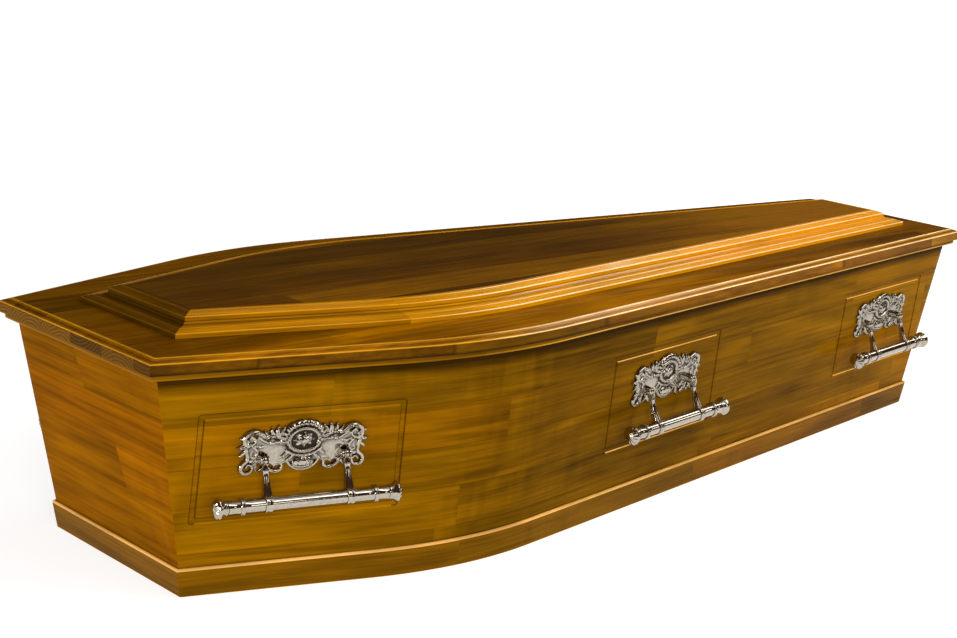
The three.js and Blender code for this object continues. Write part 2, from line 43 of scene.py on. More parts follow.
# Sizes of the coffin in millimetres, as in the part's source
GAP = 0.3
LID_HALF = 1000.0
BOX_HEIGHT = 339.6
WALL = 22.0
SKIRTING_HEIGHT = 45.0
SKIRTING_THICKNESS = 5.0
RIM_INSET = 7.0
RIM_BOTTOM = BOX_HEIGHT + GAP
LID_BOTTOM = RIM_BOTTOM + 10.0
LID_FACE_TOP = LID_BOTTOM + 17.0
LID_TOP = LID_FACE_TOP + 5.0
RAISED_BOTTOM = LID_TOP + GAP
RAISED_TOP = LID_TOP + 28.0
TOP_BORDER = 8.0
PANEL_REBATE = 10.0
PANEL_THICKNESS = 14.0
PANEL_X = {"head": -763.0, "middle": -11.0, "foot": 742.0}
PANEL_LENGTH = 309.0
PANEL_HEIGHT = 159.0
PANEL_MIDDLE_Z = 197.0
GROOVE_HALF = 5.5
GROOVE_DEPTH = 1.8
GROOVE_SHOULDER = 2.6
PLATE_Z = 230.0
PLATE_STANDOFF = 1.0
LID_OVERHANG = 22.0
FLOOR_THICKNESS = 18.0

# Handles: half the distance of the arms, the pin and the bar as (v, n) on the plate, and more
PIVOT_U = 62
PIN = (-20, 13)
BAR = (-76, 38)
MEDALLION_V = 3
KNOB_START = 122.3

# Meshes: points of a run, depth of its eased ends, close points beside arrises and grooves
RUN_COUNT = 150
EASE = 0.5
END_SHARES = np.array([0, 0.0005, 0.0016])
EDGE_GUARD = 0.6
GROOVE_PLACES = np.linspace(-8, 8, 13)
GROOVE_CLEAR = 8.5
FIRST_COLUMN = -925.0
LAST_COLUMN = 905.0
SMOOTH_WOOD = 34
SMOOTH_METAL = 48

# How strong the painted highlights on arrises are, at the head and past the shoulder, and the
# painted highlights on lit grooves
EDGE_HIGHLIGHT = (0.3, 1.0)
SKIRTING_HIGHLIGHT = (0.42, 0.42)
RIM_HIGHLIGHT = (0.1, 0.35)
FAR_MOULDING_HIGHLIGHT = (0.08, 0.25)
LIT_GROOVE = {"head": 0.26, "middle": 0.8, "foot": 0.8}

# Materials: width of the lid's boards in metres, and the part of the pattern of each strip
LID_BOARD_WIDTH = 0.082
SEEDS = {"end_board": 300, "skirting": 900, "rim": 1500, "moulding": 2100}


class Outline:
    """Half of a coffin-shaped outline: two straight runs joined by an arc at the shoulder."""

    def __init__(self, head, shoulder, foot, radius):
        self.head = np.array(head, float)
        self.shoulder = np.array(shoulder, float)
        self.foot = np.array(foot, float)
        self.radius = float(radius)
        self.to_head = unit(self.head - self.shoulder)
        self.to_foot = unit(self.foot - self.shoulder)
        half = math.acos(float(self.to_head @ self.to_foot)) / 2
        tangent = radius / math.tan(half)
        self.arc_start = self.shoulder + self.to_head * tangent
        self.arc_end = self.shoulder + self.to_foot * tangent
        inward = unit(self.to_head + self.to_foot)
        self.centre = self.shoulder + inward * (radius / math.sin(half))

    def offset(self, distance):
        """The outline moved outwards by a distance, square to each run."""
        on_head = self.shoulder + np.array([self.to_head[1], -self.to_head[0]]) * distance
        on_foot = self.shoulder + np.array([-self.to_foot[1], self.to_foot[0]]) * distance
        across = on_foot - on_head
        turn = self.to_head[0] * self.to_foot[1] - self.to_head[1] * self.to_foot[0]
        step = (across[0] * self.to_foot[1] - across[1] * self.to_foot[0]) / turn
        corner = on_head + self.to_head * step
        head_x = self.head[0] - distance
        foot_x = self.foot[0] + distance
        head_y = on_head[1] + (head_x - on_head[0]) / self.to_head[0] * self.to_head[1]
        foot_y = on_foot[1] + (foot_x - on_foot[0]) / self.to_foot[0] * self.to_foot[1]
        return Outline((head_x, head_y), corner, (foot_x, foot_y), self.radius + distance)

    def half_width(self, x):
        """Half width at places along X."""
        x = np.asarray(x, float)
        on_head = self.head[1] + (x - self.head[0]) / self.to_head[0] * self.to_head[1]
        on_foot = self.foot[1] + (x - self.foot[0]) / self.to_foot[0] * self.to_foot[1]
        inside = np.clip(self.radius ** 2 - (x - self.centre[0]) ** 2, 0, None)
        on_arc = self.centre[1] + np.sqrt(inside)
        past_head = np.where(x > self.arc_end[0], on_foot, on_arc)
        return np.where(x < self.arc_start[0], on_head, past_head)


def unit(vector):
    return vector / np.linalg.norm(vector)


def mix(a, b, k):
    return a + (b - a) * k


lid_outline = Outline((-LID_HALF, 203), (-479, 355), (LID_HALF, 193), 808)
raised_outline = Outline((-LID_HALF + 139, 90), (-464, 204), (LID_HALF - 131, 67), 814)
box_top = lid_outline.offset(-LID_OVERHANG)
box_base = Outline((-LID_HALF + 87, 165), (-498, 315), (LID_HALF - 99, 155), 638)


def box_at(z, distance):
    """Outer face of the flared box at a height, moved outwards by a distance."""
    k = z / BOX_HEIGHT
    return Outline(
        mix(box_base.head, box_top.head, k), mix(box_base.shoulder, box_top.shoulder, k),
        mix(box_base.foot, box_top.foot, k),
        mix(box_base.radius, box_top.radius, k)).offset(distance)


def lid_at(z, distance):
    return lid_outline.offset(distance)


def raised_at(z, distance):
    return raised_outline.offset(distance)


def on_side(side, x, z):
    """Point on the outer face of a long side."""
    return np.array([x, side * float(box_at(z, 0).half_width(x)), z])


def side_along(side, x):
    """Level direction of a long side near a place, towards the foot."""
    return unit(on_side(side, x + 100, PLATE_Z) - on_side(side, x - 100, PLATE_Z))


def spread(*parts):
    """Points from their parts, where a single number counts for all."""
    return np.stack(np.broadcast_arrays(*parts), axis=1)


def run_length(x, y):
    """Distance of each point of a run from its first one."""
    return np.concatenate([[0], np.cumsum(np.hypot(np.diff(x), np.diff(y)))])


def linked(name, data):
    thing = bpy.data.objects.new(name, data)
    bpy.context.scene.collection.objects.link(thing)
    return thing


def new_piece(name, points, faces, grain, painted_shading, material, body, nodes, smooth=SMOOTH_WOOD):
    """A mesh in millimetres made into a piece, with its places in the grain and its painted
    highlights and shade.
    """
    mesh = bpy.data.meshes.new(name)
    mesh.from_pydata((np.asarray(points, float) * MM).tolist(), [], faces)
    mesh.validate()
    if grain is not None:
        layer = mesh.attributes.new("grain", "FLOAT_VECTOR", "POINT")
        layer.data.foreach_set("vector", (np.asarray(grain, float) * MM).ravel())
    # Painted shading: above nought a painted highlight, below nought painted shade
    layer = mesh.attributes.new("painted_shading", "FLOAT", "POINT")
    layer.data.foreach_set("value", painted_shading)
    mesh.shade_smooth()
    mesh.set_sharp_from_angle(angle=math.radians(smooth))
    mesh.materials.append(material)
    piece = linked(name, mesh)
    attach(piece, body)
    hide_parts(*nodes)
    return piece


def grid_faces(rows, columns, wrap_rows=False, wrap_columns=False):
    """Quads of a grid of points kept row by row."""
    faces = []
    for i in range(rows if wrap_rows else rows - 1):
        below = i * columns
        above = ((i + 1) % rows) * columns
        for j in range(columns if wrap_columns else columns - 1):
            k = (j + 1) % columns
            faces.append((below + j, below + k, above + k, above + j))
    return faces


def outwards(points, faces):
    """Faces of a closed mesh, all turned round where they look inwards."""
    volume = 0.0
    for face in faces:
        a = points[face[0]]
        for i in range(1, len(face) - 1):
            volume += float(a @ np.cross(points[face[i]], points[face[i + 1]]))
    return [tuple(reversed(face)) for face in faces] if volume < 0 else faces


def closed_faces(points, rows, columns, tube=False):
    """Faces of a grid whose rows form a ring, or for a tube its columns, with both ends capped."""
    count = rows * columns
    if tube:
        faces = grid_faces(rows, columns, wrap_columns=True)
        first, last = range(columns), range(count - columns, count)
    else:
        faces = grid_faces(rows, columns, wrap_rows=True)
        first, last = range(0, count, columns), range(columns - 1, count, columns)
    return outwards(points, faces + [tuple(first)[::-1], tuple(last)])


def rounded(profile, radii, steps=4):
    """A closed (distance, z) profile with rounded corners, and close points beside each."""
    points = []
    count = len(profile)
    for i, (corner, radius) in enumerate(zip(profile, radii)):
        corner = np.array(corner, float)
        if radius == 0:
            points.append(corner)
            continue
        before = np.array(profile[i - 1], float) - corner
        after = np.array(profile[(i + 1) % count], float) - corner
        start = corner + unit(before) * radius
        end = corner + unit(after) * radius
        points.append(corner + unit(before) * (radius + EDGE_GUARD))
        for k in np.linspace(0, 1, steps + 1):
            points.append(start * (1 - k) ** 2 + corner * 2 * k * (1 - k) + end * k ** 2)
        points.append(corner + unit(after) * (radius + EDGE_GUARD))
    return points


def edge_shading(profile, profile_shading):
    """Painted light at each point of a closed profile: outer roundings get a painted highlight,
    inner ones painted shade.
    """
    points = np.array(profile, float)
    following = np.roll(points, -1, axis=0)
    before = points - np.roll(points, 1, axis=0)
    after = following - points
    turn = np.arctan2(before[:, 0] * after[:, 1] - before[:, 1] * after[:, 0],
                      (before * after).sum(axis=1))
    area = (points[:, 0] * following[:, 1] - points[:, 1] * following[:, 0]).sum()
    bent = (np.abs(turn) > 0.03) & (np.abs(turn) < 0.5)
    painted_shading = np.where(bent, np.clip(turn * np.sign(area) / 0.05, -0.5, 1), 0)
    if profile_shading:
        painted_shading = painted_shading - np.array([profile_shading(distance, z) for distance, z in points])
    return np.clip(painted_shading, -1, 1)


def shading_along(painted_shading, x, highlight_strength):
    """Painted light of a profile all along a run: highlights as strong as told at both ends,
    painted shade weakest at the foot.
    """
    share = np.clip((x + 560) / 320, 0, 1)
    painted_highlight = mix(highlight_strength[0], highlight_strength[1], share * share * (3 - 2 * share))
    painted_shade = mix(1.0, 0.35, np.clip((x + 300) / 900, 0, 1))
    painted_shading = painted_shading[:, None]
    return np.where(painted_shading > 0, painted_shading * painted_highlight, painted_shading * painted_shade).ravel()


def side_path(outline, side, shares, trim=0.0):
    """Points of one long side at shares of its length, less a trim at each end."""
    start = outline.head[0] + trim
    end = outline.foot[0] - trim
    x = start + (end - start) * shares
    return x, side * outline.half_width(x)


def run_shares(count):
    """Shares along a run, with two close columns at each end for the eased edge."""
    middle = np.linspace(0, 1, count)[1:-1]
    return np.concatenate([END_SHARES, middle, 1 - END_SHARES[::-1]])


def eased(shares):
    """How far each column steps in, so that mitred ends meet in a fine line."""
    near_end = np.minimum(shares, 1 - shares)
    return np.where(near_end < 0.0002, EASE, np.where(near_end < 0.001, EASE * 0.25, 0.0))


def strip(name, profile, outline_at, where, material, seed, count=RUN_COUNT, profile_shading=None,
          highlight_strength=EDGE_HIGHLIGHT):
    """One mitred strip of a frame: near, far, head or foot."""
    shares = run_shares(count)
    step_in = eased(shares)
    rows = []
    grains = []
    for distance, z in profile:
        outline = outline_at(z, distance)
        if where in SIDES:
            side = SIDES[where]
            x, y = side_path(outline, side, shares, GAP / 2)
            toward = side * outline_at(z, distance - EASE).half_width(x)
            y = y + (toward - y) * (step_in / EASE)
            along = run_length(x, y) + x[0]
        else:
            corner, sign = (outline.head, -1) if where == "head" else (outline.foot, 1)
            y = (shares * 2 - 1) * (corner[1] - GAP / 2)
            x = corner[0] - sign * step_in
            along = y + corner[0]
        rows.append(spread(x, y, z))
        grains.append(spread(along, z, distance + seed))
    points = np.concatenate(rows)
    faces = closed_faces(points, len(rows), len(shares))
    # Painted highlights on the strip's arrises and painted shade in its hollows
    painted_shading = shading_along(edge_shading(profile, profile_shading), x, highlight_strength)
    new_piece(f"{name}_piece", points, faces, np.concatenate(grains), painted_shading, material, "coffin",
              [name])


def board(name, profile, outline_at, material, end_material=None, profile_shading=None):
    """A flat board with a worked edge all round, its grain along X."""
    shares = np.linspace(0, 1, RUN_COUNT)
    rows = []
    for distance, z in profile:
        x, y = side_path(outline_at(z, distance), -1, shares)
        loop_x = np.concatenate([x, x[::-1]])
        rows.append(spread(loop_x, np.concatenate([y, -y[::-1]]), z))
    columns = len(rows[0])
    points = np.concatenate(rows)
    faces = grid_faces(len(rows), columns, wrap_columns=True)
    top = (len(rows) - 1) * columns
    half = columns // 2
    for base in (0, top):
        for j in range(half - 1):
            a, b = base + j, base + j + 1
            c, d = base + columns - 2 - j, base + columns - 1 - j
            faces.append((a, d, c, b) if base == 0 else (a, b, c, d))
    faces = outwards(points, faces)
    closed = profile + [(-60, profile[-1][1]), (-60, profile[0][1])]
    # Painted highlights on the board's arrises and painted shade in its hollows
    painted_shading = shading_along(edge_shading(closed, profile_shading)[:-2], loop_x, EDGE_HIGHLIGHT)
    piece = new_piece(f"{name}_piece", points, faces, points, painted_shading, material, "coffin", [name])
    if end_material:
        # The two lowest rows of the board's ends show end grain
        piece.data.materials.append(end_material)
        for i in range(2):
            for j in (half - 1, columns - 1):
                piece.data.polygons[i * columns + j].material_index = 1


class Shader:
    """A material whose nodes are added and linked one by one."""

    def __init__(self, name):
        self.material = bpy.data.materials.new(name)
        self.material.use_nodes = True
        self.nodes = self.material.node_tree.nodes
        self.links = self.material.node_tree.links
        self.nodes.clear()
        self.surface = self.nodes.new("ShaderNodeBsdfPrincipled")
        output = self.nodes.new("ShaderNodeOutputMaterial")
        self.links.new(self.surface.outputs["BSDF"], output.inputs["Surface"])

    def set(self, node, socket, value):
        if isinstance(value, bpy.types.NodeSocket):
            self.links.new(value, node.inputs[socket])
        else:
            node.inputs[socket].default_value = value

    def look(self, sockets):
        for socket, value in sockets.items():
            self.set(self.surface, socket, value)

    def add(self, kind, sockets, **settings):
        """A node with its settings made, and its sockets linked or set."""
        node = self.nodes.new(kind)
        for setting, value in settings.items():
            setattr(node, setting, value)
        for socket, value in sockets.items():
            self.set(node, socket, value)
        return node

    def attribute(self, name, output="Fac"):
        return self.add("ShaderNodeAttribute", {}, attribute_name=name).outputs[output]

    def object_place(self):
        return self.add("ShaderNodeTexCoord", {}).outputs["Object"]

    def separate(self, vector):
        outputs = self.add("ShaderNodeSeparateXYZ", {0: vector}).outputs
        return outputs[0], outputs[1], outputs[2]

    def combine(self, x, y, z):
        return self.add("ShaderNodeCombineXYZ", {0: x, 1: y, 2: z}).outputs[0]

    def math(self, operation, a, b=0.0, c=0.0):
        return self.add("ShaderNodeMath", {0: a, 1: b, 2: c}, operation=operation).outputs[0]

    def vector(self, operation, a, b):
        return self.add("ShaderNodeVectorMath", {0: a, 1: b}, operation=operation).outputs[0]

    def times(self, a, b):
        return self.math("MULTIPLY", a, b)

    def total(self, first, *others):
        for other in others:
            first = self.math("ADD", first, other)
        return first

    def centred(self, value, width):
        """A value from 0 to 1, scaled to a width about nought."""
        return self.math("MULTIPLY_ADD", value, width, -0.5 * width)

    def from_edge(self, share):
        """Share of the way from the nearer edge."""
        return self.math("MINIMUM", share, self.math("SUBTRACT", 1.0, share))

    def length(self, x, y):
        return self.math("SQRT", self.total(self.times(x, x), self.times(y, y)))

    def noise(self, vector, scale, detail=4.0, roughness=0.55, distortion=0.0):
        return self.add("ShaderNodeTexNoise", {
            "Vector": vector, "Scale": scale, "Detail": detail, "Roughness": roughness,
            "Distortion": distortion}).outputs["Fac"]

    def random(self, vector):
        node = self.add("ShaderNodeTexWhiteNoise", {"Vector": vector}, noise_dimensions="3D")
        return node.outputs["Value"]

    def range(self, value, low, high, to_low=0.0, to_high=1.0, smooth=True):
        kind = "SMOOTHSTEP" if smooth else "LINEAR"
        return self.add("ShaderNodeMapRange", {
            "Value": value, "From Min": low, "From Max": high, "To Min": to_low,
            "To Max": to_high}, interpolation_type=kind).outputs["Result"]

    def blend(self, factor, a, b, mode="MIX"):
        sockets = {0: factor, 6: a, 7: b}
        node = self.add("ShaderNodeMix", sockets, data_type="RGBA", blend_type=mode)
        return node.outputs[2]

    def ramp(self, value, stops):
        node = self.add("ShaderNodeValToRGB", {0: value})
        elements = node.color_ramp.elements
        while len(elements) < len(stops):
            elements.new(0.5)
        for element, (place, tone) in zip(elements, stops):
            element.position = place
            element.color = tone
        return node.outputs[0]

    def bump(self, height, distance, strength):
        return self.add("ShaderNodeBump", {
            "Height": height, "Distance": distance, "Strength": strength}).outputs["Normal"]


def color(red, green, blue):
    """A linear colour from 0 to 255 display values."""
    values = []
    for value in (red, green, blue):
        share = value / 255
        values.append(share / 12.92 if share < 0.04045 else ((share + 0.055) / 1.055) ** 2.4)
    return (*values, 1.0)


def varnished_wood(name, tones, board_height, block_length, roughness=0.25, gloss=0.05, ior=1.12,
                   contrast=0.1, light_lifts=(), near_edge_light=0.0):
    """Edge-glued boards under varnish. Grain X runs along the boards; Y or Z runs across them.

    Lifts are painted light and shade, as (from, to, by): the tone grows by that much on the way
    along the grain. The near edge light is painted light along the near edge.
    """
    tones = [color(*tone) for tone in tones]
    seam_depth = 0.45
    s = Shader(name)
    grain = s.attribute("grain", "Vector")
    along, across, depth = s.separate(grain)

    # Boards and the blocks that they are jointed from
    row_place = s.math("DIVIDE", across, board_height)
    row = s.math("FLOOR", row_place)
    row_random = s.random(s.combine(row, 3.7, 0.0))
    block_place = s.total(s.math("DIVIDE", along, block_length), s.times(row_random, 7.0))
    block = s.math("FLOOR", block_place)
    tone = s.random(s.combine(row, block, 1.3))
    hue = s.random(s.combine(row, block, 8.9))
    edge_row = s.from_edge(s.math("FRACT", row_place))
    edge_block = s.from_edge(s.math("FRACT", block_place))
    seam = s.range(edge_row, 0.0, 0.0012 / board_height, seam_depth, 0.0)
    joint = s.range(edge_block, 0.0, 0.0008 / block_length, seam_depth * 0.6, 0.0)
    joint_lines = s.math("MAXIMUM", seam, joint)

    # Grain of each block, from its own part of the pattern
    shift = s.combine(s.times(tone, 9.0), s.times(hue, 11.0), s.times(row, 0.37))
    place = s.vector("ADD", s.combine(along, across, depth), shift)

    def pattern(stretch, *settings):
        return s.noise(s.vector("MULTIPLY", place, stretch), *settings)

    bands = pattern((1.0, 11.0, 11.0), 2.2, 5.0, 0.6, 0.6)
    rings = s.math("SINE", s.times(pattern((1.0, 11.0, 11.0), 0.75, 3.0, 0.5, 0.35), 52.0))
    fibre = pattern((5.0, 170.0, 170.0), 1.0, 5.0, 0.65)
    cloud = pattern((1.0, 2.2, 2.2), 5.0, 3.0, 0.5)
    ripple = pattern((34.0, 5.0, 5.0), 1.0, 2.0, 0.4, 0.5)
    rippled = s.range(s.noise(grain, 2.3, 1.0), 0.5, 0.68)

    # Tone from all of these
    value = s.total(
        s.math("MULTIPLY_ADD", bands, 0.4, 0.3), s.centred(tone, contrast),
        s.times(rings, 0.03), s.centred(fibre, 0.42), s.centred(cloud, 0.32),
        s.times(s.centred(ripple, 0.24), rippled),
        *(s.range(along, start, end, 0.0, by) for start, end, by in light_lifts))
    # Painted light: the near edge is lighter
    if near_edge_light:
        value = s.total(value, s.range(across, -0.16, -0.23, 0.0, near_edge_light))
    base = s.ramp(value, list(zip((0.2, 0.42, 0.6, 0.82), tones)))
    warm = s.blend(s.range(hue, 0.25, 0.85), (1.0, 1.0, 1.0, 1.0), (1.04, 0.95, 1.0, 1.0))
    stained = s.blend(joint_lines, s.blend(1.0, base, warm, "MULTIPLY"), tones[0])

    # Painted highlights on arrises and painted shade in recesses, grooves and shaded faces
    painted_shading = s.attribute("painted_shading")
    patchy = s.range(s.noise(grain, 7.0, 3.0), 0.3, 0.6, 0.6, 1.0)
    painted_highlight = s.times(s.range(painted_shading, 0.0, 0.45, 0.0, 0.95, False), patchy)
    highlight_tone = s.ramp(painted_shading, [(0.1, color(184, 124, 8)), (0.3, color(212, 148, 34)),
                                (0.8, color(255, 224, 172))])
    painted_shade = s.range(painted_shading, 0.0, -1.0, 0.0, 1.0, False)
    highlighted = s.blend(painted_highlight, stained, highlight_tone)
    pores = s.math("SUBTRACT", s.times(fibre, 0.5), s.times(joint_lines, 0.8))
    s.look({
        "Base Color": s.blend(painted_shade, highlighted, color(24, 13, 0)),
        "Roughness": s.range(fibre, 0.3, 0.75, roughness, roughness + 0.14),
        "IOR": ior, "Specular Tint": (1.0, 0.55, 0.04, 1.0),
        "Coat Weight": gloss, "Coat Roughness": 0.06, "Coat IOR": 1.42,
        "Normal": s.bump(pores, 0.0002, 0.5)})
    return s.material


def end_grain():
    """Board ends with their growth rings: Y runs across the boards and Z up them."""
    s = Shader("wood_end_grain")
    grain = s.attribute("grain", "Vector")
    _, across, up = s.separate(grain)
    place = s.math("DIVIDE", across, LID_BOARD_WIDTH)
    row = s.math("FLOOR", place)
    share = s.math("FRACT", place)
    side = s.random(s.combine(row, 5.1, 0.0))
    heart_across = s.math("MULTIPLY_ADD", s.math("SUBTRACT", share, 0.5), LID_BOARD_WIDTH,
                          s.centred(side, 0.06))
    heart_up = s.total(s.math("SUBTRACT", up, 0.36), s.centred(s.math("ROUND", side), 0.09))
    wave = s.times(s.noise(grain, 30.0, 3.0), 9.0)
    radius = s.length(heart_across, heart_up)
    rings = s.math("SINE", s.math("MULTIPLY_ADD", radius, 1150.0, wave))
    pores = s.noise(grain, 1400.0, 2.0)
    value = s.total(s.math("MULTIPLY_ADD", rings, 0.1, 0.5), s.centred(pores, 0.4),
                    s.centred(side, 0.3))
    base = s.ramp(value, [(0.2, color(44, 26, 1)), (0.5, color(82, 52, 4)),
                          (0.8, color(122, 82, 16))])
    glue_line = s.range(s.from_edge(share), 0.0, 0.014, 0.7, 0.0)
    s.look({
        "Base Color": s.blend(glue_line, base, color(70, 38, 4)),
        "Roughness": s.range(pores, 0.3, 0.7, 0.32, 0.5),
        "IOR": 1.08, "Normal": s.bump(pores, 0.0002, 0.5)})
    return s.material


def chrome_metal():
    """Polished metal with a faint haze, and painted shade in the recesses of its relief."""
    s = Shader("chrome")
    place = s.object_place()
    haze = s.noise(place, 240.0, 3.0)
    recess_shade = s.range(s.attribute("painted_shading"), 0.0, -1.0, 0.0, 1.0, False)
    polished = s.ramp(haze, [(0.3, color(168, 160, 145)), (0.7, color(190, 182, 167))])
    s.look({
        "Base Color": s.blend(recess_shade, polished, color(26, 21, 16)),
        "Roughness": s.total(s.range(haze, 0.3, 0.7, 0.05, 0.12), s.times(recess_shade, 0.25)),
        "Metallic": 1.0, "Normal": s.bump(s.noise(place, 420.0, 2.0), 0.00012, 0.35)})
    return s.material


# Woods, each with four tones from dark to light. They are lit and shaded copies of one wood: the
# lid and the top are darker as painted shade and the moulding lighter as painted light; their lifts
# paint light and shade along the length, and the lid's near edge is lighter as painted light.
wood_side = varnished_wood(
    "wood_side", [(64, 40, 0), (103, 68, 0), (134, 90, 0), (164, 115, 0)], 0.066, 0.68,
    ior=1.04, gloss=0.03, light_lifts=[(-0.78, -0.3, -0.12), (0.25, 0.85, 0.14)])
wood_end = varnished_wood(
    "wood_end", [(64, 36, 0), (103, 61, 0), (135, 83, 0), (164, 106, 0)], 0.068, 0.9,
    ior=1.03, gloss=0.0)
wood_trim = varnished_wood(
    "wood_trim", [(52, 33, 0), (86, 56, 0), (114, 75, 0), (144, 98, 0)], 0.5, 0.62,
    ior=1.06, gloss=0.06)
wood_lid_shaded = varnished_wood(
    "wood_lid_shaded", [(58, 35, 0), (94, 59, 0), (124, 79, 0), (178, 118, 0)], LID_BOARD_WIDTH, 2.6,
    ior=1.06, gloss=0.08, contrast=0.26, light_lifts=[(-0.3, 0.5, -0.06)], near_edge_light=0.24)
wood_top_shaded = varnished_wood(
    "wood_top_shaded", [(52, 31, 0), (81, 51, 0), (107, 69, 0), (140, 93, 0)], LID_BOARD_WIDTH, 2.6,
    gloss=0.2, contrast=0.4, light_lifts=[(-0.1, 0.8, 0.5)])
wood_moulding_lit = varnished_wood(
    "wood_moulding_lit", [(80, 48, 0), (128, 81, 0), (176, 117, 0), (224, 150, 2)], 0.5, 0.7,
    ior=1.1, gloss=0.13, light_lifts=[(-0.95, -0.1, 0.3)])
raw_wood = varnished_wood(
    "raw_wood", [(140, 104, 62), (176, 138, 90), (200, 164, 114), (216, 184, 136)], 0.12, 1.1,
    gloss=0.0, roughness=0.6)
wood_end_grain = end_grain()
chrome = chrome_metal()


def with_grooves(places, centres):
    """Even places, with close ones instead about the middle of each groove."""
    for centre in centres:
        clear = [place for place in places if abs(place - centre) > GROOVE_CLEAR]
        places = clear + list(centre + GROOVE_PLACES)
    return np.array(sorted(places))


def column_places(side):
    """Columns along a side."""
    centres = [middle + end * PANEL_LENGTH / 2 * side_slope(side, middle)
               for middle in PANEL_X.values() for end in (-1, 1)]
    return with_grooves(np.linspace(FIRST_COLUMN, LAST_COLUMN, RUN_COUNT), centres)


def row_heights():
    """Heights of the rows of a side, with some more under the rim."""
    even = list(np.linspace(0, BOX_HEIGHT, 15)) + [BOX_HEIGHT - below for below in (28, 20, 10, 5)]
    return with_grooves(even, [PANEL_MIDDLE_Z + end * PANEL_HEIGHT / 2 for end in (-1, 1)])


def side_slope(side, x):
    return abs(side_along(side, x)[0])


def groove_depth(side, x, z):
    """Depth of the routed frames at places on a long side, with painted shade in the grooves and
    painted highlights on lit ones.
    """
    depth = np.zeros_like(x)
    painted_shading = np.zeros_like(x)
    for place, middle in PANEL_X.items():
        slope = side_slope(side, middle)
        across = np.abs(x - middle) / slope - PANEL_LENGTH / 2
        up = np.abs(z - PANEL_MIDDLE_Z) - PANEL_HEIGHT / 2
        outside = np.hypot(np.maximum(across, 0), np.maximum(up, 0))
        corner = (across > 0) & (up > 0)
        distance = np.abs(np.where(corner, outside, np.maximum(across, up)))
        share = np.clip((GROOVE_HALF - distance) / GROOVE_SHOULDER, 0, 1)
        depth = np.maximum(depth, GROOVE_DEPTH * share * share * (3 - 2 * share))
        painted_shade = np.abs(2 * share - 1) - 1

        # The lower wall of each level groove looks up and gets a painted highlight
        upper_groove = (np.abs(up + distance) < 0.01) & (z > PANEL_MIDDLE_Z)
        lower_groove = (np.abs(up - distance) < 0.01) & (z < PANEL_MIDDLE_Z)
        lit = (upper_groove | lower_groove) & (across < -GROOVE_HALF)
        own = np.where(lit, np.abs(painted_shade) * LIT_GROOVE[place], painted_shade)
        painted_shading = np.where(own != 0, own, painted_shading)
    return depth, painted_shading


def squeeze(places, outline):
    """Columns moved so that the first and last follow the slanting ends of the side."""
    low, high = outline.head[0] + GAP / 2, outline.foot[0] - GAP / 2
    head_turn = -850.0 if low > FIRST_COLUMN - 5 else FIRST_COLUMN - 1
    foot_turn = 830.0 if high < LAST_COLUMN + 6 else LAST_COLUMN + 1
    ends = np.array([0, EASE, 1.8])
    clear = 3
    x = places.copy()
    first = x < head_turn
    room = max(head_turn - places[0], 1e-6)
    x[first] = low + clear + (x[first] - places[0]) / room * (head_turn - low - clear)
    last = x > foot_turn
    room = places[-1] - foot_turn
    x[last] = foot_turn + (x[last] - foot_turn) / room * (high - clear - foot_turn)
    return np.concatenate([low + ends, x, high - ends[::-1]])


def side_board(label):
    """A long side with its routed frames, and a painted shadow under the rim."""
    side = SIDES[label]
    places = column_places(side)
    reach = 4.0
    rows = []
    grains = []
    painted_shading = []
    for z in row_heights():
        outline = box_at(z, 0)
        x = squeeze(places, outline)
        depth, groove_shading = groove_depth(side, x, np.full_like(x, z))
        depth[[0, -1]] = EASE
        depth[[1, -2]] = np.maximum(depth[[1, -2]], 0.12)
        face = outline.half_width(x)
        y = side * (face + (box_at(z, -reach).half_width(x) - face) * depth / reach)
        rows.append(spread(x, y, z))
        grains.append(spread(run_length(x, side * face) + x[0], z, -depth))
        # Painted shade in the grooves, painted highlights on lit grooves, and a painted shadow
        # under the rim
        painted_shadow_under_rim = np.clip((z - BOX_HEIGHT + 26) / 14, 0, 1) * 0.85
        painted_shading.append(groove_shading * 0.8 - painted_shadow_under_rim)
    for z in (BOX_HEIGHT, 0.0):
        x, y = side_path(box_at(z, -WALL), side, np.linspace(0, 1, len(x)))
        rows.append(spread(x, y, z))
        grains.append(spread(x, z, -WALL))
        painted_shading.append(np.zeros_like(x))
    points = np.concatenate(rows)
    faces = closed_faces(points, len(rows), len(rows[0]))
    new_piece(f"side_board_{label}", points, faces, np.concatenate(grains), np.concatenate(painted_shading),
              wood_side, "coffin", [f"side_{label}"])


def moulding_painted_shade(distance, z):
    """Painted shade: the flat border and the upright faces of both tiers are darker."""
    if distance < -2.3:
        return 0.4
    upper_face = 14.9 < distance < 21 and z < RAISED_TOP - 5.5
    lower_face = distance > 46.9 and z < LID_TOP + 7
    return 0.2 if upper_face or lower_face else 0.0


def lid_painted_shading(distance, z):
    """Painted shade on the upright face, most of all along its foot, and a painted highlight on the
    cove above it.
    """
    if distance < -1:
        return -0.28 if distance > -14.5 else 0.0
    face = np.clip((LID_FACE_TOP - 1 - z) / 1.4, 0, 1)
    foot = np.clip((LID_BOTTOM + 5 - z) / 4, 0, 1)
    return 0.72 * face + 0.25 * foot


